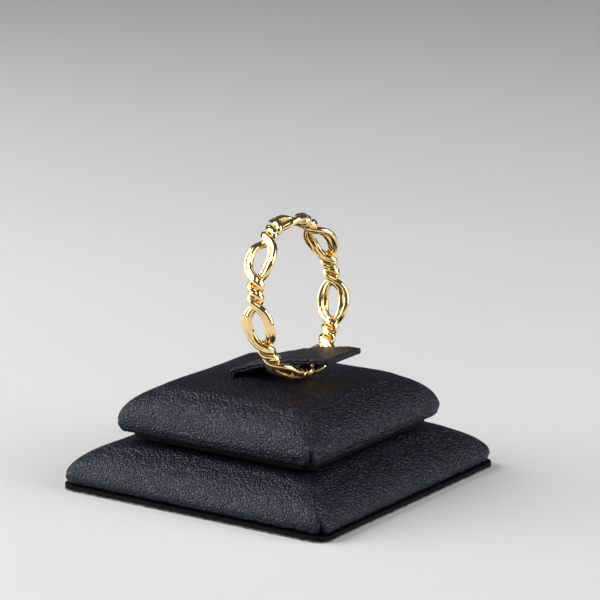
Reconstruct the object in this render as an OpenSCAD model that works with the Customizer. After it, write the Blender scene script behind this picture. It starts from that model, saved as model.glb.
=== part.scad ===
// Twisted infinity ring held upright under the leather clip of a two-tier display stand.
// Millimetres. The origin is the middle of the stand's underside, with +Z up.
// +X runs from the clip's root to its free end, along the stand's front edge.

/* [Ring] */
// Inside diameter of the ring, where the finger goes
ring_inner_d = 17; // [14:0.5:22]
// Number of open eyes round the ring
eye_count = 7; // [5:1:9]
// Diameter of each polished wire
wire_d = 0.8; // [0.6:0.02:0.84]
// Depth that the two wires of a strand are melted together beside an eye
eye_wire_merge = 0.16; // [0.06:0.01:0.24]
// Depth that the two wires of a strand are melted together in a twist
twist_wire_merge = 0.56; // [0.3:0.01:0.6]
// Reach of a strand sideways at the middle of an eye
eye_reach = 1.5; // [1.2:0.05:2]
// Reach of a strand sideways in a twist
twist_reach = 0.72; // [0.5:0.02:0.8]
// Reach of a strand in and out beside an eye
eye_depth = 0.38; // [0.3:0.02:0.5]
// Reach of a strand in and out in a twist
twist_depth = 0.38; // [0.34:0.01:0.5]
// Tilt of a strand's two wires out of the band beside an eye
eye_tilt = 20; // [-30:1:30]
// Diameter of the solder between two strands where they cross
solder_d = 0.5; // [0.3:0.02:0.7]

/* [Ring on the stand] */
// Lean of the ring away from the clip's free end
ring_lean = 7; // [0:0.5:12]
// Turn of the ring about the upright
ring_turn = 5; // [-8:0.5:8]
// Angle of the top eye round the ring, from level
top_eye_angle = 88; // [60:1:120]
// Place of the ring's foot along the clip, from the middle of the stand
ring_x = 3.3; // [1:0.1:5]
// Gap between the ring and the leather above and below it
ring_gap = 0.08; // [0.04:0.01:0.2]

/* [Clip] */
// Length of the clip's tongue
clip_l = 14.1; // [11:0.1:16]
// Width of the clip
clip_w = 7.2; // [4:0.1:8]
// Thickness of the clip, leather on both sides
clip_t = 0.8; // [0.6:0.05:1.2]
// Bend of the tongue from its root down to its free end
clip_bend = 18; // [0:1:30]
// Bevel round the tongue's free end
clip_bevel = 0.15; // [0.05:0.05:0.25]
// Place of the clip's root, from the middle of the stand
clip_root_x = -4.4; // [-7:0.1:-3]
// Lift of the tongue off the leather at its root
clip_lift = 0.1; // [0.05:0.01:0.3]
// Inside radius of the elbow between the tongue and the tail
clip_elbow = 0.1; // [0.05:0.05:0.5]
// Depth of the clip's tail below the tongue's root
clip_tail_l = 2.2; // [1.2:0.1:3]
// Clearance round the clip's tail
clip_clear = 0.08; // [0.04:0.01:0.2]

/* [Stand] */
// Width of the lower cushion over the leather
lower_w = 38.6; // [34:0.2:48]
// Height of the lower cushion
lower_h = 5.3; // [4:0.1:8]
// Width of the upper cushion over the leather
upper_w = 29.4; // [24:0.2:32]
// Height of the upper cushion
upper_h = 5.9; // [4.5:0.1:9]
// Thickness of the board under each cushion
board_t = 0.7; // [0.5:0.1:2]
// Set-back of the base board from the lower cushion's side
base_inset = 0.2; // [0.1:0.1:2]
// Set-back of the upper board from the upper cushion's side
upper_board_inset = 1.6; // [0.8:0.1:4]
// Gap between stacked pieces
stack_gap = 0.1; // [0.05:0.01:0.3]

/* [Cushion form] */
// Corner radius of a cushion at its widest
corner_r = 1.6; // [1:0.1:4]
// Tuck of the leather under a cushion
tuck = 0.5; // [0.2:0.1:1]
// Height of a cushion's widest line above its underside
waist_h = 0.8; // [0.5:0.1:1.6]
// Width of the sloping border round a cushion's top
border_w = 6.4; // [4:0.1:8]
// Rise of the crown inside the border
crown_h = 0.4; // [0.2:0.1:1]
// Fullness of the upper cushion's border, where 2 is an elliptic arc
upper_fullness = 2.1; // [1.3:0.1:3]
// Fullness of the lower cushion's border
lower_fullness = 1.7; // [1.3:0.1:3]

/* [Hidden] */

// Strand phase: the half turn of an eye takes more of the ring's length than the two of a twist
HALF_TURNS = 3;
PHASE_DRAG = 1.08;
SWELL_SHARE = 0.43;
FLAT_SHARE = 0.28;
RINGS_PER_EYE = 20;
TWIST_CROWDING = 0.4;
LOBE_STEPS = 6;
TANGENT_STEP = 0.02;
wire_r = wire_d / 2;
ring_mid_r = ring_inner_d / 2 + twist_depth + wire_r;
ring_steps = eye_count * RINGS_PER_EYE;

// Heights of the stack
lower_z = board_t + stack_gap;
upper_board_z = lower_z + lower_h + stack_gap;
upper_z = upper_board_z + board_t + stack_gap;
stand_top = upper_z + upper_h;

// Profile steps of a cushion and points of each rounded corner
CORNER_STEPS = 6;
TUCK_STEPS = 3;
BORDER_STEPS = 7;
CROWN_STEPS = 3;
CLIP_STEPS = 10;
ELBOW_STEPS = 4;
CLIP_EDGE_STEPS = 6;

// 1 at the middle of an eye, falling to 0 in the twist, for u counted in eyes
function swell(u) =
    let (from_eye = min(1, abs(u - round(u)) / SWELL_SHARE))
    0.5 + 0.5 * cos(180 * from_eye);

function between(eye, twist, u) = twist + (eye - twist) * swell(u);

// Turn of a strand about the band's centre line
function strand_phase(strand, u) =
    180 * (HALF_TURNS * (u - PHASE_DRAG * sin(360 * u) / (2 * PI)) + strand);

// Turn of the line through a strand's two wires: flat beside an eye, winding in a twist
function pair_turn(strand, u) =
    let (
        eye = round(u),
        into_twist = max(0, abs(u - eye) - FLAT_SHARE) / (0.5 - FLAT_SHARE),
        wound = sign(u - eye) * 90 * pow(into_twist, 2) * (3 - into_twist)
    )
    180 * (strand + 2 * eye) - 90 + wound + eye_tilt * swell(u);

// Point of the band from its place round the ring, its reach sideways and its reach outwards
function on_ring(u, side, out) =
    let (a = top_eye_angle - 360 * u / eye_count, r = ring_mid_r + out)
    [side, r * cos(a), r * sin(a)];

function strand_centre(strand, u) =
    let (phase = strand_phase(strand, u))
    on_ring(
        u,
        between(eye_reach, twist_reach, u) * cos(phase),
        between(eye_depth, twist_depth, u) * sin(phase)
    );

function unit(v) = v / norm(v);

// Outline of a grooved strand: two wires side by side as one figure of eight
function strand_outline(pitch) =
    let (groove = 180 - acos(pitch / wire_d))
    [
        for (lobe = [0, 1])
            for (k = [0:LOBE_STEPS - 1])
                let (
                    a = -groove + 2 * groove * k / LOBE_STEPS,
                    p = [pitch / 2 + wire_r * cos(a), wire_r * sin(a)]
                )
                lobe == 0 ? p : -p
    ];

function strand_section(strand, u, side = 1) =
    let (
        back = strand_centre(strand, u - TANGENT_STEP),
        ahead = strand_centre(strand, u + TANGENT_STEP),
        along = unit(ahead - back),
        turn = pair_turn(strand, u),
        side_on = on_ring(u, -sin(turn), cos(turn)) - on_ring(u, 0, 0),
        pair = unit(side_on - (side_on * along) * along),
        face = cross(along, pair),
        centre = strand_centre(strand, u)
    )
    [
        for (p = strand_outline(wire_d - between(eye_wire_merge, twist_wire_merge, u)))
            centre + side * (p[0] * pair + p[1] * face)
    ];

// Place of section number k, in eyes; the sections lie closer together in a twist
function section_place(k) =
    k / RINGS_PER_EYE + TWIST_CROWDING * sin(360 * k / RINGS_PER_EYE) / (2 * PI);

// Section number k of a strand; after a whole round the strand runs on into the one that it meets
function band_section(strand, k) =
    k < ring_steps
        ? strand_section(strand, section_place(k))
        : strand_section((strand + HALF_TURNS * eye_count) % 2, 0, eye_count % 2 == 0 ? 1 : -1);

// A point of the upright ring, leant back and turned
function leant(p) =
    let (x = p[0] * cos(ring_lean) - p[2] * sin(ring_lean))
    [
        x * cos(ring_turn) - p[1] * sin(ring_turn),
        x * sin(ring_turn) + p[1] * cos(ring_turn),
        p[0] * sin(ring_lean) + p[2] * cos(ring_lean)
    ];

// The lower half of the leant ring's surface
foot_points = [
    for (strand = [0, 1])
        for (k = [0:ring_steps - 1])
            for (p = band_section(strand, k))
                if (p[2] < 0) leant(p)
];
ring_centre = [
    ring_x - ring_mid_r * sin(ring_lean),
    0,
    stand_top + ring_gap - min([for (p = foot_points) p[2]])
];
clip_r = clip_t / 2;
elbow_r = clip_r + clip_elbow;
clip_root = [clip_root_x, 0, stand_top + clip_r + clip_lift];

// Half thickness of the round-edged tongue, at a distance from its middle line
function clip_half_t(y) =
    let (into_edge = max(0, abs(y) - (clip_w / 2 - clip_r)))
    sqrt(max(0, clip_r * clip_r - into_edge * into_edge));

// Drop of the bent tongue, in degrees, seen from its root at a distance along it
function bend_drop(far) = clip_bend * far / clip_l / 2;

// Rise at its root with which the tongue just clears a point of the ring below it
function rise_over(p) =
    let (reach = p - clip_root, far = norm([reach[0], reach[2]]))
    atan2(reach[2], reach[0]) + asin((clip_half_t(p[1]) + ring_gap) / far) + bend_drop(far);

// The tongue lies on the ring's foot, where its edges meet the ring's inside
clip_rise = max([
    for (p = foot_points)
        if (abs(p[1]) < clip_w / 2 + ring_gap) rise_over(ring_centre + p)
]);

// Share of an eye's length from its middle to the crossing that ends it, found by halving
function eye_end(low = 0, high = 0.5, halvings = 16) =
    let (middle = (low + high) / 2)
    halvings == 0 ? middle
    : strand_phase(0, middle) < 90 ? eye_end(middle, high, halvings - 1)
    : eye_end(low, middle, halvings - 1);

// Faces between closed rows of n points
function side_faces(rows, n) = [
    for (row = [0:rows - 2])
        for (i = [0:n - 1])
            let (a = row * n + i, b = row * n + (i + 1) % n)
            each [[a, b + n, b], [a, a + n, b + n]]
];

// Faces of a solid made of closed rows of n points, with flat ends
function row_faces(rows, n) = concat(
    [[for (i = [0:n - 1]) i]],
    side_faces(rows, n),
    [[for (i = [0:n - 1]) rows * n - 1 - i]]
);

// Faces of a stretch of strand, with an end for each of its two wires
function strand_faces(rows, n) =
    let (
        wire_points = [for (wire = [0, 1]) [for (i = [0:n / 2]) (wire * n / 2 + i) % n]],
        far = (rows - 1) * n
    )
    concat(
        wire_points,
        side_faces(rows, n),
        [for (points = wire_points) [for (i = [n / 2:-1:0]) far + points[i]]]
    );

module strand_stretch(strand, eye) {
    n = 2 * LOBE_STEPS;
    polyhedron(
        [
            for (k = [0:RINGS_PER_EYE])
                each band_section(strand, eye * RINGS_PER_EYE + k)
        ],
        strand_faces(RINGS_PER_EYE + 1, n)
    );
}

// Solder that joins the two strands where they cross
module solder_joint(u) {
    hull() {
        for (strand = [0, 1]) {
            translate(strand_centre(strand, u))
                sphere(d = solder_d, $fn = 6);
        }
    }
}

module ring_band() {
    color("gold")
        translate(ring_centre)
            rotate([0, -ring_lean, ring_turn])
                union() {
                    for (eye = [0:eye_count - 1]) {
                        for (strand = [0, 1]) {
                            strand_stretch(strand, eye);
                        }
                        for (u = [-eye_end(), eye_end(), 0.5]) {
                            solder_joint(eye + u);
                        }
                    }
                }
}

// Rounded square of half-width h with corners of radius r, at height z
function square_row(h, r, z) = [
    for (corner = [0:3])
        for (k = [0:CORNER_STEPS])
            let (
                a = 90 * (corner + k / CORNER_STEPS),
                mid = 90 * corner + 45,
                c = (h - r) * sqrt(2)
            )
            [c * cos(mid) + r * cos(a), c * sin(mid) + r * sin(a), z]
];

// Inset and height of each row of a cushion, from its underside to the crown
function cushion_profile(half_w, height, fullness) =
    let (
        border_h = height - crown_h - waist_h,
        inner_w = half_w - border_w
    )
    concat(
        [
            for (k = [0:TUCK_STEPS])
                let (a = 90 * k / TUCK_STEPS)
                [tuck * (1 - sin(a)), waist_h * (1 - cos(a))]
        ],
        [
            for (k = [1:BORDER_STEPS])
                let (
                    a = 90 * k / BORDER_STEPS,
                    reach = pow(cos(a), 2 / fullness),
                    rise = pow(sin(a), 2 / fullness)
                )
                [border_w * (1 - reach), waist_h + border_h * rise]
        ],
        [
            for (k = [1:CROWN_STEPS])
                [
                    border_w + inner_w * k / (CROWN_STEPS + 0.5),
                    height - crown_h * pow(1 - k / CROWN_STEPS, 2)
                ]
        ]
    );

module cushion(width, height, fullness) {
    rows = [
        for (p = cushion_profile(width / 2, height, fullness))
            square_row(width / 2 - p[0], min(corner_r + p[0] / 2, width / 2 - p[0]), p[1])
    ];
    polyhedron(
        [for (row = rows) each row],
        row_faces(len(rows), len(rows[0]))
    );
}

// Stations of the clip's middle line: x and z from the root, slope, and inset of the section there
function tongue_station(far, inset) =
    let (chord = clip_rise - bend_drop(far))
    [far * cos(chord), far * sin(chord), clip_rise - 2 * bend_drop(far), inset];

function elbow_station(slope) = [
    elbow_r * (sin(clip_rise) - sin(slope)),
    elbow_r * (cos(slope) - cos(clip_rise)),
    slope,
    0
];

// From the tail's foot, up the tail, round the elbow and along the tongue to its bevelled free end
clip_stations = concat(
    [[elbow_station(90)[0], -clip_tail_l, 90, 0]],
    [for (k = [0:ELBOW_STEPS]) elbow_station(90 + (clip_rise - 90) * k / ELBOW_STEPS)],
    [for (k = [1:CLIP_STEPS]) tongue_station((clip_l - clip_bevel) * k / CLIP_STEPS, 0)],
    [tongue_station(clip_l, clip_bevel)]
);

// Round-edged section of the clip at one of its stations
function clip_section(station) =
    let (slope = station[2], r = clip_r - station[3])
    [
        for (edge = [0, 1])
            for (k = [0:CLIP_EDGE_STEPS])
                let (
                    a = 180 * (edge + k / CLIP_EDGE_STEPS),
                    y = (2 * edge - 1) * (clip_w / 2 - clip_r) - r * sin(a),
                    z = r * cos(a)
                )
                [station[0] - z * sin(slope), y, station[1] + z * cos(slope)]
    ];

module ring_clip() {
    rows = [for (station = clip_stations) clip_section(station)];
    color([0.09, 0.09, 0.11])
        translate(clip_root)
            polyhedron(
                [for (row = rows) each row],
                row_faces(len(rows), len(rows[0]))
            );
}

// The slot in the upper cushion that the clip's tail stands in
module clip_slot() {
    slot = [clip_t + 2 * clip_clear, clip_w + 2 * clip_clear, clip_tail_l + clip_t];
    foot = clip_root + [clip_stations[0][0], 0, clip_stations[0][1] - clip_clear];
    translate(foot + [0, 0, slot[2] / 2])
        cube(slot, center = true);
}

module upper_cushion() {
    color([0.06, 0.06, 0.08])
        difference() {
            translate([0, 0, upper_z])
                cushion(upper_w, upper_h, upper_fullness);
            clip_slot();
        }
}

module lower_cushion() {
    color([0.07, 0.07, 0.09])
        translate([0, 0, lower_z])
            cushion(lower_w, lower_h, lower_fullness);
}

module board(half_w) {
    linear_extrude(board_t)
        polygon([for (p = square_row(half_w, corner_r, 0)) [p[0], p[1]]]);
}

module upper_board() {
    color([0.1, 0.1, 0.11])
        translate([0, 0, upper_board_z])
            board(upper_w / 2 - upper_board_inset);
}

module base_board() {
    color([0.16, 0.16, 0.18])
        board(lower_w / 2 - base_inset);
}

ring_band();
ring_clip();
upper_cushion();
upper_board();
lower_cushion();
base_board();
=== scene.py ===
import math
from collections import namedtuple

import bmesh
import bpy
from mathutils import Matrix, Vector, noise


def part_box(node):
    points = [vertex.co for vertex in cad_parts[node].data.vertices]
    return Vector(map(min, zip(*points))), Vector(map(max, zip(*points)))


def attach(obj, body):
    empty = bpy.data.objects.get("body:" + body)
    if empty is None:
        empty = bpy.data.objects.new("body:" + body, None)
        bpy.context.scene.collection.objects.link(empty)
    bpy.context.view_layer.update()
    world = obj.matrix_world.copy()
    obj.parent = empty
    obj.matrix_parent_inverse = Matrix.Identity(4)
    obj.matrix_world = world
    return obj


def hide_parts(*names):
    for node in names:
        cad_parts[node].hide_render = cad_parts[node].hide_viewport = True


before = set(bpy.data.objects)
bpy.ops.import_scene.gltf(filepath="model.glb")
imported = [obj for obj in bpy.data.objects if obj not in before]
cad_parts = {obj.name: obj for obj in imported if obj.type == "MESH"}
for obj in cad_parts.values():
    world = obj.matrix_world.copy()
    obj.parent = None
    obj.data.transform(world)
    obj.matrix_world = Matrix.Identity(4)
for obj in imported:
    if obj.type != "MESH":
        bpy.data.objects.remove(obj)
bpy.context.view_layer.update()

# Lengths are written in millimetres and turned to metres by MM
MM = 0.001

# The ring: two strands of two wires each that open into eyes, as the part's source makes them
RING_INNER_D = 17
EYE_COUNT = 7
WIRE_D = 0.8
EYE_WIRE_MERGE = 0.16
TWIST_WIRE_MERGE = 0.56
EYE_REACH = 1.5
TWIST_REACH = 0.72
EYE_DEPTH = 0.38
TWIST_DEPTH = 0.38
EYE_TILT = 20
HALF_TURNS = 3
PHASE_DRAG = 1.08
SWELL_SHARE = 0.43
FLAT_SHARE = 0.28
TOP_EYE_ANGLE = 88
RING_LEAN = 7
RING_TURN = 5
STATIONS_PER_EYE = 56
LOBE_POINTS = 15
TANGENT_STEP = 0.01
CREASE_ANGLE = 38
MERGE_DISTANCE = 1e-5

# The clip: a leather-covered tongue that bends over the ring's foot
CLIP_ROOT_X = -4.4
CLIP_LIFT = 0.1
CLIP_W = 7.2
CLIP_T = 0.8
CLIP_L = 14.1
CLIP_BEND = 18
CLIP_ELBOW = 0.1
CLIP_TAIL_L = 2.2
CLIP_CORNER_R = 0.3
CLIP_END_R = 0.22
CLIP_BEVEL = 0.15
TAIL_STEPS = 8
ELBOW_STEPS = 8
TONGUE_STEPS = 96
END_STEPS = 4
FACE_STEPS = 16
EDGE_STEPS = 5
LEAST_CORNER_R = 0.05

# The clip's leather: the turned edge with its seam and puckers, and the folds over the slit
TURNED_EDGE_W = 0.9
FACE_MARGIN = 0.12
SIDE_MARGIN = 0.02
SEAM_DEPTH = 0.1
SEAM_W = 0.07
THICKNESS_STRETCH = 2.4
FOLD_DEPTH = 0.07
FOLD_MIDDLE = 1.2
FOLD_SPREAD = 1.8
FOLDS_ACROSS = 4.6
FOLD_WANDER = 2.2
MOST_CLIP_RELIEF = 0.07

# The cushions' profile, from the tuck under the edge to the crown
CORNER_R = 1.6
TUCK = 0.5
WAIST_H = 0.8
BORDER_W = 6.4
CROWN_H = 0.4
UPPER_FULLNESS = 2.1
LOWER_FULLNESS = 1.7
UNDERSIDE_W = 2.3
FLAT_UNDERSIDE = 0.02
PAD_ROWS = 52
CORNER_CROWDING = 1.5
EDGE_CROWDING = 1.25
PROFILE_SAMPLES = 60
PROFILE_SOFTENING = 3

# Heights up a cushion's side between which the relief of its leather fades
PUCKERS_END, PUCKERS_FULL = 1.7, 0.5
FINE_END, FINE_FULL = 1.1, 0.4
FILLING_START, FILLING_FULL = 0.6, 2.2
FOLDS_END = 4.0

# How far out towards a corner its puckers and folds begin and are full, as shares of the half width
CORNER_START, CORNER_FULL = 1.45, 1.95
FOLD_START, FOLD_FULL = 1.0, 1.3
PUCKER_LENGTHENING = 0.35
PUCKER_DEPTH = 0.06
CORNER_PUCKER_DEPTH = 0.08
SLIT_DEPTH = 0.34
SLIT_W = 0.85
SLIT_SHIFT = 0.35

# Marks of the leather's fold at a board's corner. A push is outwards. A mark lies aside to the right
# of the corner, seen from outside, and slants that much for each millimetre up. It is full at one
# height and has faded at the end height, and it may wander with the crease.
FoldMark = namedtuple("FoldMark", "name push aside slant width end full wanders")
FOLD_MARKS = (
    FoldMark("crease", -0.42, 0, 0, 0.2, 2.7, 0.8, 1),
    FoldMark("end of the crease", -0.13, 0, 0, 0.3, 4.0, 1.6, 1),
    FoldMark("lip beside it", 0.16, 0.5, 0, 0.32, 2.2, 0.8, 0),
    FoldMark("pleat", -0.1, -2.6, -0.6, 0.22, 1.5, 0.6, 0),
)
HOLLOW_DEPTH = 0.24
HOLLOW_ASIDE = -1.15
HOLLOW_W = 0.8
HOLLOW_HEIGHT = 0.75
HOLLOW_TALL = 0.55
CREASE_WANDER = 0.18
CREASE_WANDERS_PER_MM = 1.4

# The cloth that the leather is blown up with, in a copy that is many times larger
CLOTH_SCALE = 25
CLOTH_FRAMES = 20
CLOTH_PRESSURE = 20
SLACK = 0.22
LEAST_SWELL = 0.15
MOST_SWELL = 0.32
HELD_HEIGHT = 0.75

# Camera, fitted to the photograph's 600-pixel frame
CAMERA_AZIMUTH = 34.357
CAMERA_ELEVATION = 13.651
CAMERA_DISTANCE = 427.5
CAMERA_TARGET = (-29.067, 46.72, 8.85)
LENS = 185.18
SENSOR = 36
NEAREST_SEEN = 10
FARTHEST_SEEN = 10000

# The room: large soft boxes that look at the ring's foot, a high window and a pale sheet
FLOOR_REACH = 2500
LIT_PLACE = (0, 0, 14)
Softbox = namedtuple("Softbox", "name place width power")
SOFTBOXES = (
    Softbox("left_box", (-300, -160, 220), 420, 2.3),
    Softbox("right_box", (330, 120, 180), 300, 1.2),
    Softbox("top_box", (120, -240, 420), 160, 0.25),
)
WINDOW_DIRECTION = (0.55, 0.35, -1)
WINDOW_STRENGTH = 0.55
WINDOW_ANGLE = 18
ROOM_COLOUR = (0.9, 0.94, 1.0, 1)
ROOM_STRENGTH = 0.09

# Colours: a pattern blends the two of a finish, and the sheen tints the leather's gloss
GOLD_DEEP = (0.97, 0.68, 0.28)
GOLD_PALE = (1.0, 0.77, 0.4)
# The leather's deep colour is also painted shade in the creases of its grain
LEATHER_DEEP_AND_CREASE_SHADE = (0.0009, 0.0009, 0.0022)
LEATHER_PALE_CREST = (0.0058, 0.006, 0.0135)
LEATHER_SHEEN = (0.72, 0.75, 1.0, 1.0)
BOARD_FACE = (0.004, 0.004, 0.005)
BOARD_FOOT_PALE = (0.3, 0.285, 0.275)
SHEET_DEEP = (0.66, 0.655, 0.65)
SHEET_PALE = (0.7, 0.695, 0.69)


class Wire:
    """A shader value; arithmetic on it adds the Math nodes."""

    def __init__(self, finish, socket):
        self.finish = finish
        self.socket = socket

    def math(self, operation, *others):
        values = dict(enumerate((self, *others)))
        return self.finish.add("ShaderNodeMath", {"operation": operation}, values)

    def __add__(self, other):
        return self.math("ADD", other)

    def __sub__(self, other):
        return self.math("SUBTRACT", other)

    def __rsub__(self, other):
        return self.finish.add("ShaderNodeMath", {"operation": "SUBTRACT"}, {0: other, 1: self})

    def __mul__(self, other):
        return self.math("MULTIPLY", other)

    __radd__ = __add__
    __rmul__ = __mul__

    def between(self, low, high):
        """The value's share of the way from low to high, smoothed and held at both ends."""
        smooth = {"interpolation_type": "SMOOTHSTEP"}
        return self.finish.add("ShaderNodeMapRange", smooth, {0: self, 1: low, 2: high})


class Finish:
    """A material under construction, with its Principled shader."""

    def __init__(self, name, **constants):
        self.material = bpy.data.materials.new(name)
        self.material.use_nodes = True
        self.tree = self.material.node_tree
        self.shader = self.tree.nodes["Principled BSDF"]
        for socket, value in constants.items():
            self.shader.inputs[socket.replace("_", " ")].default_value = value

    def add(self, kind, settings, values, output=0):
        """A node with its settings, then its inputs' values or links; gives one output."""
        node = self.tree.nodes.new(kind)
        for name, value in settings.items():
            setattr(node, name, value)
        for key, value in values.items():
            if isinstance(value, Wire):
                self.tree.links.new(value.socket, node.inputs[key])
            else:
                node.inputs[key].default_value = value
        return Wire(self, node.outputs[output])

    def place(self):
        """Object coordinates in millimetres."""
        here = self.add("ShaderNodeTexCoord", {}, {}, output="Object")
        return self.add("ShaderNodeVectorMath", {"operation": "SCALE"}, {0: here, "Scale": 1 / MM})

    def stretch(self, place, scale, turn=(0, 0, 0)):
        return self.add("ShaderNodeMapping", {}, {"Vector": place, "Rotation": turn, "Scale": scale})

    def noise(self, place, scale, detail=2.0, roughness=0.5):
        values = {"Vector": place, "Scale": scale, "Detail": detail, "Roughness": roughness}
        return self.add("ShaderNodeTexNoise", {}, values)

    def cracks(self, place, scale):
        """Distance to the edges of random cells."""
        values = {"Vector": place, "Scale": scale}
        return self.add("ShaderNodeTexVoronoi", {"feature": "DISTANCE_TO_EDGE"}, values)

    def warp(self, place, scale, amount):
        """The place pushed about by a soft noise."""
        values = {"Vector": place, "Scale": scale, "Detail": 1.0}
        push = self.add("ShaderNodeTexNoise", {}, values, output="Color")
        middle = (0.5, 0.5, 0.5)
        centred = self.add("ShaderNodeVectorMath", {"operation": "SUBTRACT"}, {0: push, 1: middle})
        sized = self.add("ShaderNodeVectorMath", {"operation": "SCALE"}, {0: centred, "Scale": amount})
        return self.add("ShaderNodeVectorMath", {"operation": "ADD"}, {0: place, 1: sized})

    def height_axis(self, place):
        return self.add("ShaderNodeSeparateXYZ", {}, {0: place}, output="Z")

    def blend(self, share, low, high):
        """A colour between two, by a share."""
        ends = {0: share, 6: (*low, 1), 7: (*high, 1)}
        return self.add("ShaderNodeMix", {"data_type": "RGBA"}, ends, output=2)

    def bump(self, height, depth):
        """A relief of that depth in millimetres."""
        values = {"Height": height, "Distance": depth * MM}
        self.connect("Normal", self.add("ShaderNodeBump", {}, values))

    def connect(self, socket, wire):
        self.tree.links.new(wire.socket, self.shader.inputs[socket])


def polished_gold():
    """Mirror-polished yellow gold with the faint haze and ripple of hand polishing."""
    gold = Finish("polished_gold", Metallic=1.0)
    place = gold.place()
    rubbed = gold.stretch(place, scale=(1.0, 9.0, 1.6), turn=(0.4, 0.2, 0.7))
    haze = gold.noise(gold.warp(place, scale=0.8, amount=0.6), scale=2.4, detail=4.0, roughness=0.6)
    ripple = gold.noise(place, scale=1.3)
    scratches = gold.noise(rubbed, scale=5.0, detail=3.0)
    gold.connect("Base Color", gold.blend(haze.between(0.3, 0.7), GOLD_DEEP, GOLD_PALE))
    gold.connect("Roughness", 0.04 + 0.05 * haze.between(0.35, 0.75) + 0.03 * scratches)
    gold.bump(ripple + 0.06 * scratches, depth=0.002)
    return gold.material


def grained_leather(name, grain, depth, wrinkle_turn, gloss):
    """Black satin leatherette: short wrinkles that run together into creases, and small pebbles."""
    leather = Finish(name, Specular_IOR_Level=gloss, Specular_Tint=LEATHER_SHEEN)
    place = leather.place()
    loose = leather.warp(place, scale=0.9, amount=0.5)
    long_way = leather.stretch(loose, scale=(1.0, 0.5, 1.0), turn=wrinkle_turn)
    creases = leather.cracks(long_way, scale=grain).between(0.0, 0.3)
    wrinkles = leather.noise(long_way, scale=1.7 * grain)
    pores = leather.noise(place, scale=7.0, roughness=0.6)
    blotches = leather.noise(place, scale=0.16, detail=3.0, roughness=0.6)
    relief = 0.9 * creases + 1.1 * wrinkles + 0.2 * pores
    # Painted shade: the grain's creases take the deep colour, and random blotches darken it in places too
    pale_crest_share = creases * blotches.between(0.3, 0.75)
    leather.connect("Base Color", leather.blend(pale_crest_share, LEATHER_DEEP_AND_CREASE_SHADE, LEATHER_PALE_CREST))
    leather.connect("Roughness", 0.48 - 0.09 * creases + 0.12 * (blotches - 0.5) + 0.08 * (pores - 0.5))
    leather.bump(relief, depth)
    return leather.material


def cut_board():
    """Matt black board with a fibrous relief, paler in a thin band at its foot."""
    board = Finish("black_board", Specular_IOR_Level=0.08)
    place = board.place()
    pressed = board.stretch(place, scale=(1.0, 1.0, 6.0))
    layers = board.noise(pressed, scale=1.4, detail=4.0, roughness=0.7)
    fibres = board.noise(place, scale=6.0, detail=3.0, roughness=0.7)
    # The board's colour turns paler in a thin, broken band at its foot
    foot = board.height_axis(place).between(0.26, 0.1) * layers.between(0.35, 0.6)
    board.connect("Base Color", board.blend(foot, BOARD_FACE, BOARD_FOOT_PALE))
    board.connect("Roughness", 0.5 + 0.25 * fibres)
    board.bump(layers + 0.4 * fibres, depth=0.05)
    return board.material


def pale_ground():
    """The plain pale sheet that the stand is shown on."""
    ground = Finish("pale_ground")
    place = ground.place()
    tone = ground.noise(place, scale=0.01)
    ground.connect("Base Color", ground.blend(tone, SHEET_DEEP, SHEET_PALE))
    ground.connect("Roughness", 0.62 + 0.08 * tone)
    return ground.material


def new_piece(name, bm, material):
    """Turns a finished bmesh in millimetres into a smooth object in metres."""
    bmesh.ops.scale(bm, verts=bm.verts, vec=(MM, MM, MM))
    mesh = bpy.data.meshes.new(name)
    bm.to_mesh(mesh)
    bm.free()
    mesh.materials.append(material)
    mesh.shade_smooth()
    piece = bpy.data.objects.new(name, mesh)
    bpy.context.collection.objects.link(piece)
    return piece


def applied(piece):
    """Applies a piece's modifiers to its mesh."""
    shown = piece.evaluated_get(bpy.context.evaluated_depsgraph_get())
    mesh = bpy.data.meshes.new_from_object(shown)
    piece.modifiers.clear()
    piece.data = mesh
    return piece


def box_mm(node):
    low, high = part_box(node)
    return Vector(low) / MM, Vector(high) / MM


def cos_deg(angle):
    return math.cos(math.radians(angle))


def sin_deg(angle):
    return math.sin(math.radians(angle))


def bell(distance, width):
    return math.exp(-((distance / width) ** 2))


def ease(value, low, high):
    """0 at low and 1 at high, smooth between them and held beyond."""
    share = min(1, max(0, (value - low) / (high - low)))
    return share * share * (3 - 2 * share)


def lumps(place, height, per_mm, shift=(0, 0, 0)):
    """A soft random relief of that height."""
    return height * noise.noise(place * per_mm + Vector(shift))


def middle_of(points):
    """Middle of the box round some points."""
    return Vector([(min(axis) + max(axis)) / 2 for axis in zip(*points)])


def rolled(rows, around):
    """A grid rolled into a tube of the given rows of points, closed at both ends."""
    bm = bmesh.new()
    along = len(rows) - 1
    bmesh.ops.create_grid(bm, x_segments=along, y_segments=around, size=1)
    for vert in bm.verts:
        row = round((vert.co.x + 1) / 2 * along)
        vert.co = rows[row][round((vert.co.y + 1) / 2 * around) % around]
    bmesh.ops.remove_doubles(bm, verts=bm.verts, dist=MERGE_DISTANCE)
    bmesh.ops.holes_fill(bm, edges=bm.edges, sides=0)
    bmesh.ops.recalc_face_normals(bm, faces=bm.faces)
    return bm


# The ring

WIRE_R = WIRE_D / 2
RING_MID_R = RING_INNER_D / 2 + TWIST_DEPTH + WIRE_R


def eye_share(u):
    """1 at the middle of an eye, falling to 0 in the twist, for u counted in eyes."""
    return 0.5 + 0.5 * cos_deg(180 * min(1, abs(u - math.floor(u + 0.5)) / SWELL_SHARE))


def by_eye(in_eye, in_twist, u):
    return in_twist + (in_eye - in_twist) * eye_share(u)


def strand_phase(strand, u):
    return 180 * (HALF_TURNS * (u - PHASE_DRAG * sin_deg(360 * u) / (2 * math.pi)) + strand)


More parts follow.
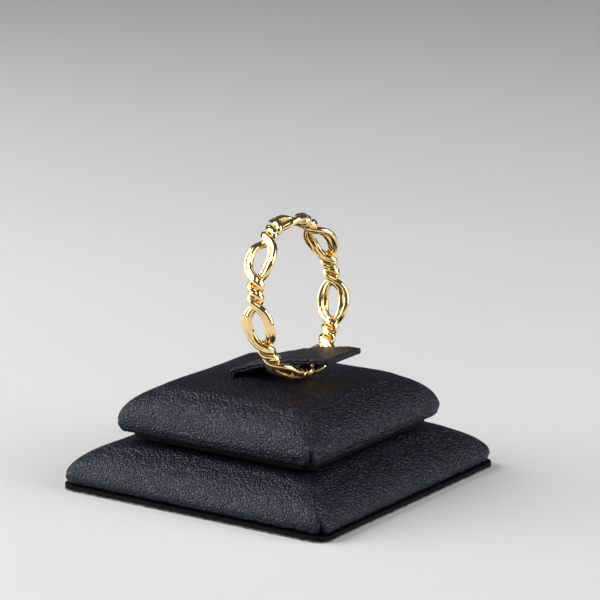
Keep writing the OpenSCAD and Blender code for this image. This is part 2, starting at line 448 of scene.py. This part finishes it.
def pair_turn(strand, u):
    """Turn of the line through a strand's two wires: flat beside an eye, winding in a twist."""
    eye = math.floor(u + 0.5)
    into_twist = max(0, abs(u - eye) - FLAT_SHARE) / (0.5 - FLAT_SHARE)
    wound = math.copysign(90 * into_twist**2 * (3 - into_twist), u - eye)
    return 180 * (strand + 2 * eye) - 90 + wound + EYE_TILT * eye_share(u)


def on_ring(u, side, out):
    angle = TOP_EYE_ANGLE - 360 * u / EYE_COUNT
    r = RING_MID_R + out
    return Vector((side, r * cos_deg(angle), r * sin_deg(angle)))


def strand_centre(strand, u):
    phase = strand_phase(strand, u)
    side = by_eye(EYE_REACH, TWIST_REACH, u) * cos_deg(phase)
    out = by_eye(EYE_DEPTH, TWIST_DEPTH, u) * sin_deg(phase)
    return on_ring(u, side, out)


def strand_frame(strand, u):
    """Centre of a strand, the line through its two wires and the line across it."""
    ahead = strand_centre(strand, u + TANGENT_STEP)
    along = (ahead - strand_centre(strand, u - TANGENT_STEP)).normalized()
    turn = pair_turn(strand, u)
    side_on = on_ring(u, -sin_deg(turn), cos_deg(turn)) - on_ring(u, 0, 0)
    pair = (side_on - side_on.dot(along) * along).normalized()
    return strand_centre(strand, u), pair, along.cross(pair)


def strand_outline(u):
    """Figure of eight of a strand's two merged wires."""
    pitch = WIRE_D - by_eye(EYE_WIRE_MERGE, TWIST_WIRE_MERGE, u)
    groove = 180 - math.degrees(math.acos(pitch / WIRE_D))
    lobe = []
    for step in range(LOBE_POINTS):
        angle = groove * (2 * step / LOBE_POINTS - 1)
        lobe.append((pitch / 2 + WIRE_R * cos_deg(angle), WIRE_R * sin_deg(angle)))
    return lobe + [(-p, -f) for p, f in lobe]


def strand_round(strand):
    """One strand, once round the ring."""
    stations = EYE_COUNT * STATIONS_PER_EYE
    sections = []
    for station in range(stations + 1):
        # a whole round on, the strand is where the other one starts, upside down
        last = station == stations
        which = (strand + HALF_TURNS * EYE_COUNT) % 2 if last else strand
        u = 0 if last else station / STATIONS_PER_EYE
        centre, pair, face = strand_frame(which, u)
        if last and EYE_COUNT % 2:
            pair, face = -pair, -face
        sections.append([centre + p * pair + f * face for p, f in strand_outline(u)])
    return rolled(sections, 2 * LOBE_POINTS)


def seat_ring(bm):
    """Leans the upright ring and turns it about the upright axis."""
    lean = Matrix.Rotation(math.radians(-RING_LEAN), 3, "Y")
    turn = Matrix.Rotation(math.radians(RING_TURN), 3, "Z")
    bmesh.ops.rotate(bm, verts=bm.verts, matrix=turn @ lean)


def ring():
    """Both strands fused, set where the part's own ring stands."""
    gold = polished_gold()
    rounds = []
    for strand in (0, 1):
        bm = strand_round(strand)
        seat_ring(bm)
        rounds.append(new_piece("ring" if strand == 0 else "other_strand", bm, gold))
    body, other = rounds
    fusing = body.modifiers.new("fused", "BOOLEAN")
    fusing.operation = "UNION"
    fusing.solver = "MANIFOLD"
    fusing.object = other
    applied(body)
    bpy.data.objects.remove(other)
    shift = middle_of(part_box("ring_band")) - middle_of([v.co for v in body.data.vertices])
    bm = bmesh.new()
    bm.from_mesh(body.data)
    bmesh.ops.translate(bm, verts=bm.verts, vec=shift)
    for edge in bm.edges:
        if len(edge.link_faces) == 2:
            edge.smooth = edge.calc_face_angle() < math.radians(CREASE_ANGLE)
    bm.to_mesh(body.data)
    bm.free()
    return body


# The clip

def clip_stations():
    """Stations of the clip's middle line: its place, slope and how far the section is drawn in."""
    cushion_top = box_mm("upper_cushion")[1].z
    r = CLIP_T / 2
    root_z = cushion_top + r + CLIP_LIFT
    # the tongue's highest point tells how steeply the part's own clip rises
    far = CLIP_L - CLIP_BEVEL
    end_rise = box_mm("ring_clip")[1].z - root_z - r * cos_deg(CLIP_BEND / 4)
    rise = math.degrees(math.asin(end_rise / far)) + CLIP_BEND * far / CLIP_L / 2
    elbow = r + CLIP_ELBOW
    foot = root_z - CLIP_TAIL_L
    elbow_z = root_z - elbow * cos_deg(rise)
    stations = []
    for step in range(TAIL_STEPS):
        z = foot + (elbow_z - foot) * step / TAIL_STEPS
        stations.append((CLIP_ROOT_X + elbow * (sin_deg(rise) - 1), z, 90, 0))
    for step in range(ELBOW_STEPS):
        slope = 90 + (rise - 90) * step / ELBOW_STEPS
        x = CLIP_ROOT_X + elbow * (sin_deg(rise) - sin_deg(slope))
        stations.append((x, root_z + elbow * (cos_deg(slope) - cos_deg(rise)), slope, 0))
    reaches = [((CLIP_L - CLIP_END_R) * step / TONGUE_STEPS, 0) for step in range(TONGUE_STEPS)]
    for step in range(END_STEPS + 1):
        angle = 90 * step / END_STEPS
        reaches.append((CLIP_L - CLIP_END_R * (1 - sin_deg(angle)), CLIP_END_R * (1 - cos_deg(angle))))
    for reach, inset in reaches:
        drop = CLIP_BEND * reach / CLIP_L / 2
        chord = rise - drop
        x = CLIP_ROOT_X + reach * cos_deg(chord)
        stations.append((x, root_z + reach * sin_deg(chord), rise - 2 * drop, inset))
    return stations


def clip_outline(inset):
    """Rounded section of the folded leather: across the clip and through its thickness."""
    half_w = CLIP_W / 2 - inset
    half_t = CLIP_T / 2 - inset
    corner = max(LEAST_CORNER_R, CLIP_CORNER_R - inset)
    quarter = []
    for step in range(FACE_STEPS):
        quarter.append(((half_w - corner) * step / FACE_STEPS, half_t))
    for step in range(EDGE_STEPS + 1):
        angle = 90 - 90 * step / EDGE_STEPS
        across = half_w - corner + corner * cos_deg(angle)
        quarter.append((across, half_t - corner + corner * sin_deg(angle)))
    quarter.append((half_w, (half_t - corner) / 2))
    side = quarter + [(y, -t) for y, t in [(half_w, 0)] + quarter[:0:-1]]
    return side + [(-y, -t) for y, t in side]


def clip_relief(reach, across, thick):
    """Push of the clip's leather: the turned edge's seam, its puckers and the folds at the root."""
    place = Vector((reach, across, THICKNESS_STRETCH * thick))
    edge = ease(abs(across), CLIP_W / 2 - TURNED_EDGE_W, CLIP_W / 2)
    on_side = ease(abs(across), CLIP_W / 2 - FACE_MARGIN, CLIP_W / 2 - SIDE_MARGIN)
    seam = -SEAM_DEPTH * on_side * bell(thick, SEAM_W)
    puckers = edge * lumps(place, height=0.085, per_mm=1.9)
    side_puckers = on_side * lumps(place, height=0.05, per_mm=4.3)
    near_root = bell(reach - FOLD_MIDDLE, FOLD_SPREAD)
    wander = lumps(place, height=FOLD_WANDER, per_mm=0.7)
    folds = FOLD_DEPTH * near_root * math.sin(FOLDS_ACROSS * thick + wander)
    waves = lumps(Vector((0.45 * reach, 0.35 * across, 7)), height=0.045, per_mm=1)
    return seam + puckers + side_puckers + folds + waves


def clip(leather):
    """The leather-covered tongue, its elbow and the tail that goes down the slit."""
    stations = clip_stations()
    outlines = [clip_outline(station[3]) for station in stations]
    around = len(outlines[0])
    rows = []
    root = TAIL_STEPS + ELBOW_STEPS
    for (x, z, slope, _), outline in zip(stations, outlines):
        reach = math.copysign(math.dist((x, z), stations[root][:2]), x - stations[root][0])
        row = []
        for y, t in outline:
            out = Vector((y / CLIP_W, t / CLIP_T)).normalized()
            if abs(y) > CLIP_W / 2 - FACE_MARGIN:
                out = Vector((math.copysign(1, y), 0))
            elif abs(t) > CLIP_T / 2 - FACE_MARGIN:
                out = Vector((0, math.copysign(1, t)))
            push = min(MOST_CLIP_RELIEF, clip_relief(reach, y, t))
            side, up = y + push * out.x, t + push * out.y
            row.append(Vector((x - up * sin_deg(slope), side, z + up * cos_deg(slope))))
        rows.append(row)
    return new_piece("clip", rolled(rows, around), leather)


# The cushions

def leather_profile(half_w, height, fullness):
    """Inset and height down the leather, from the crown's middle to the tuck under the edge."""
    line = []
    for step in range(PROFILE_SAMPLES):
        share = step / PROFILE_SAMPLES
        line.append((half_w - (half_w - BORDER_W) * share, height - CROWN_H * share**2))
    for step in range(PROFILE_SAMPLES):
        angle = 90 - 90 * step / PROFILE_SAMPLES
        inset = BORDER_W * (1 - cos_deg(angle) ** (2 / fullness))
        line.append((inset, WAIST_H + (height - CROWN_H - WAIST_H) * sin_deg(angle) ** (2 / fullness)))
    for step in range(PROFILE_SAMPLES + 1):
        angle = 90 - 90 * step / PROFILE_SAMPLES
        line.append((TUCK * (1 - sin_deg(angle)), WAIST_H * (1 - cos_deg(angle))))
    lengths = [0]
    for before, after in zip(line, line[1:]):
        lengths.append(lengths[-1] + math.dist(before, after))
    rows = []
    for row in range(PAD_ROWS + 1):
        goal = lengths[-1] * (1 - (1 - row / PAD_ROWS) ** EDGE_CROWDING)
        at = min(len(line) - 2, max(0, sum(length <= goal for length in lengths) - 1))
        share = (goal - lengths[at]) / (lengths[at + 1] - lengths[at])
        rows.append([a + (b - a) * share for a, b in zip(line[at], line[at + 1])])
    for _ in range(PROFILE_SOFTENING):
        for before, row, after in zip(rows, rows[1:-1], rows[2:]):
            row[:] = [(a + 2 * m + b) / 4 for a, m, b in zip(before, row, after)]
    return rows


def on_rounded_square(half, corner, x, y):
    """Place on a rounded square that a point of a plain square's rim goes to."""
    size = max(abs(x), abs(y))
    if size == 0:
        return Vector((0, 0))
    share = 1 - (1 - min(abs(x), abs(y)) / size) ** CORNER_CROWDING
    straight = half - corner
    along = share * (straight + corner * math.pi / 4)
    if along <= straight:
        far, near = half, along
    else:
        angle = (along - straight) / corner
        far = straight + corner * math.cos(angle)
        near = straight + corner * math.sin(angle)
    if abs(x) < abs(y):
        far, near = near, far
    return Vector((math.copysign(far, x), math.copysign(near, y)))


def blow_up(piece, held_z):
    """Fills the leather by a short cloth simulation in a larger copy, with its lower rows held.

    The filling is firm, so the leather swells between a least and a most height over it.
    """
    start = [v.co.copy() for v in piece.data.vertices]
    free = [v.index for v in piece.data.vertices if v.co.z > held_z * MM]
    outwards = [v.normal.copy() for v in piece.data.vertices]
    held = piece.vertex_groups.new(name="held")
    held.add(sorted(set(range(len(start))) - set(free)), 1.0, "REPLACE")
    piece.data.transform(Matrix.Scale(CLOTH_SCALE, 4))
    cloth = piece.modifiers.new("filling", "CLOTH")
    cloth.settings.use_pressure = True
    cloth.settings.uniform_pressure_force = CLOTH_PRESSURE
    cloth.settings.vertex_group_mass = "held"
    cloth.settings.effector_weights.gravity = 0
    cloth.point_cache.frame_start = 1
    cloth.point_cache.frame_end = CLOTH_FRAMES
    for step in range(1, CLOTH_FRAMES + 1):
        bpy.context.scene.frame_set(step)
    applied(piece)
    bpy.context.scene.frame_set(1)
    piece.vertex_groups.clear()
    swollen = [v.co / CLOTH_SCALE for v in piece.data.vertices]
    for vert, before in zip(piece.data.vertices, start):
        vert.co = before
    for index in free:
        swell = (swollen[index] - start[index]).dot(outwards[index]) / MM
        firm = min(MOST_SWELL, max(LEAST_SWELL, swell))
        piece.data.vertices[index].co += firm * MM * outwards[index]


def corner_fold(place, height, half_w):
    """Push of the leather where it is folded round the board's corners."""
    cx, cy = math.copysign(1, place.x), math.copysign(1, place.y)
    out = (abs(place.x) + abs(place.y)) / math.sqrt(2)
    near = ease(out, FOLD_START * half_w, FOLD_FULL * half_w)
    if height > FOLDS_END or near == 0:
        return 0
    # to the right of the corner, seen from outside
    across = (cx * place.y - cy * place.x) / math.sqrt(2)
    wander = lumps(Vector((cx, cy, height)), height=CREASE_WANDER, per_mm=CREASE_WANDERS_PER_MM)
    push = -HOLLOW_DEPTH * bell(across - HOLLOW_ASIDE, HOLLOW_W) * bell(height - HOLLOW_HEIGHT, HOLLOW_TALL)
    for mark in FOLD_MARKS:
        aside = mark.aside + mark.slant * height + mark.wanders * wander
        push += mark.push * bell(across - aside, mark.width) * ease(height, mark.end, mark.full)
    return near * push


def pad_relief(place, height, half_w):
    """Push of a cushion's leather: its uneven filling, its puckered edge and its corners."""
    out = abs(place.x) + abs(place.y)
    corner = ease(out, CORNER_START * half_w, CORNER_FULL * half_w)
    upright = Vector((place.x, place.y, PUCKER_LENGTHENING * height))
    depth = PUCKER_DEPTH + CORNER_PUCKER_DEPTH * corner
    puckers = ease(height, PUCKERS_END, PUCKERS_FULL) * lumps(upright, depth, per_mm=1.15)
    fine = ease(height, FINE_END, FINE_FULL) * lumps(upright, 0.045, per_mm=2.7, shift=(5, 0, 0))
    filled = ease(height, FILLING_START, FILLING_FULL)
    filling = filled * lumps(place, height=0.11, per_mm=0.16, shift=(0, 3, 0))
    return puckers + fine + filling + corner_fold(place, height, half_w)


def slit_dimple(place):
    """The leather pulled in round the slit that the clip's tail goes through."""
    aside = max(0, abs(place.y) - CLIP_W / 2)
    return -SLIT_DEPTH * bell(math.hypot(place.x - CLIP_ROOT_X + SLIT_SHIFT, aside), SLIT_W)


def cushion(name, node, fullness, leather, top_relief=None):
    """A padded tier: a grid laid over the cushion's form, filled, folded at its corners and smoothed."""
    low, high = box_mm(node)
    half_w = (high.x - low.x) / 2
    rows = leather_profile(half_w - SLACK, high.z - low.z - SLACK, fullness)
    # a last row turns the leather in under the cushion
    rows.append((rows[-1][0] + UNDERSIDE_W, rows[-1][1]))
    rim = len(rows) - 1
    bm = bmesh.new()
    bmesh.ops.create_grid(bm, x_segments=2 * rim, y_segments=2 * rim, size=1)
    for vert in bm.verts:
        inset, height = rows[round(max(abs(vert.co.x), abs(vert.co.y)) * rim)]
        half = max(0, half_w - SLACK - inset)
        corner = min(CORNER_R + inset / 2, half)
        flat = on_rounded_square(half, corner, vert.co.x, vert.co.y)
        vert.co = (flat.x, flat.y, low.z + height)
    bmesh.ops.holes_fill(bm, edges=[edge for edge in bm.edges if edge.is_boundary], sides=0)
    bmesh.ops.recalc_face_normals(bm, faces=bm.faces)
    pad = new_piece(name, bm, leather)
    blow_up(pad, low.z + HELD_HEIGHT)
    bm = bmesh.new()
    bm.from_mesh(pad.data)
    underside = [face for face in bm.faces if len(face.verts) > 4]
    bmesh.ops.delete(bm, geom=underside, context="FACES_ONLY")
    for vert in bm.verts:
        place = vert.co / MM
        height = place.z - low.z
        if height < FLAT_UNDERSIDE:
            continue
        push = pad_relief(place, height, half_w)
        if top_relief:
            push += top_relief(place)
        vert.co += push * MM * vert.normal
        vert.co.z = min(vert.co.z, high.z * MM)
    bm.to_mesh(pad.data)
    bm.free()
    smoother = pad.modifiers.new("smooth", "SUBSURF")
    smoother.levels = 1
    smoother.render_levels = 1
    applied(pad)
    bm = bmesh.new()
    bm.from_mesh(pad.data)
    bmesh.ops.holes_fill(bm, edges=[edge for edge in bm.edges if edge.is_boundary], sides=0)
    bm.to_mesh(pad.data)
    bm.free()
    return pad


def stage():
    bm = bmesh.new()
    bmesh.ops.create_grid(bm, x_segments=8, y_segments=8, size=FLOOR_REACH)
    floor = new_piece("floor", bm, pale_ground())


def hang(name, lamp, direction, place=(0, 0, 0)):
    """Puts a lamp in the scene, shining along a direction."""
    holder = bpy.data.objects.new(name, lamp)
    holder.location = Vector(place) * MM
    holder.rotation_euler = Vector(direction).to_track_quat("-Z", "Y").to_euler()
    bpy.context.collection.objects.link(holder)


def studio():
    """The soft boxes, the high window and the room's own even light."""
    for box in SOFTBOXES:
        lamp = bpy.data.lights.new(box.name, "AREA")
        lamp.size = box.width * MM
        lamp.energy = box.power
        hang(box.name, lamp, Vector(LIT_PLACE) - Vector(box.place), box.place)
    window = bpy.data.lights.new("high_window", "SUN")
    window.energy = WINDOW_STRENGTH
    window.angle = math.radians(WINDOW_ANGLE)
    hang("high_window", window, WINDOW_DIRECTION)
    world = bpy.data.worlds.new("studio")
    world.use_nodes = True
    world.node_tree.nodes["Background"].inputs["Color"].default_value = ROOM_COLOUR
    world.node_tree.nodes["Background"].inputs["Strength"].default_value = ROOM_STRENGTH
    bpy.context.scene.world = world
    bpy.context.scene.view_settings.view_transform = "Standard"


def camera():
    """The camera at the photograph's angle and distance."""
    azimuth = math.radians(CAMERA_AZIMUTH)
    elevation = math.radians(CAMERA_ELEVATION)
    back = Vector((
        math.sin(azimuth) * math.cos(elevation),
        -math.cos(azimuth) * math.cos(elevation),
        math.sin(elevation),
    ))
    view = bpy.data.cameras.new("camera")
    view.sensor_width = SENSOR
    view.lens = LENS
    view.clip_start = NEAREST_SEEN * MM
    view.clip_end = FARTHEST_SEEN * MM
    holder = bpy.data.objects.new("camera", view)
    holder.location = (Vector(CAMERA_TARGET) + CAMERA_DISTANCE * back) * MM
    holder.rotation_euler = (math.pi / 2 - elevation, 0, azimuth)
    bpy.context.collection.objects.link(holder)
    bpy.context.scene.camera = holder


ring_piece = ring()
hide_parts("ring_band")
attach(ring_piece, "root")

clip_leather = grained_leather(
    "clip_leather", grain=2.8, depth=0.1, wrinkle_turn=(0, 0, 0.3), gloss=0.45
)
clip_piece = clip(clip_leather)
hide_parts("ring_clip")
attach(clip_piece, "root")

cushion_leather = grained_leather(
    "cushion_leather", grain=2.5, depth=0.1, wrinkle_turn=(0, 0, 0.8), gloss=0.5
)
pads = {
    "upper_cushion": cushion("upper_pad", "upper_cushion", UPPER_FULLNESS, cushion_leather, slit_dimple),
    "lower_cushion": cushion("lower_pad", "lower_cushion", LOWER_FULLNESS, cushion_leather),
}
for node, pad in pads.items():
    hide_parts(node)
    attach(pad, "root")

board = cut_board()
for node in ("upper_board", "base_board"):
    bpy.data.objects[node].material_slots[0].material = board

camera()
stage()
studio()
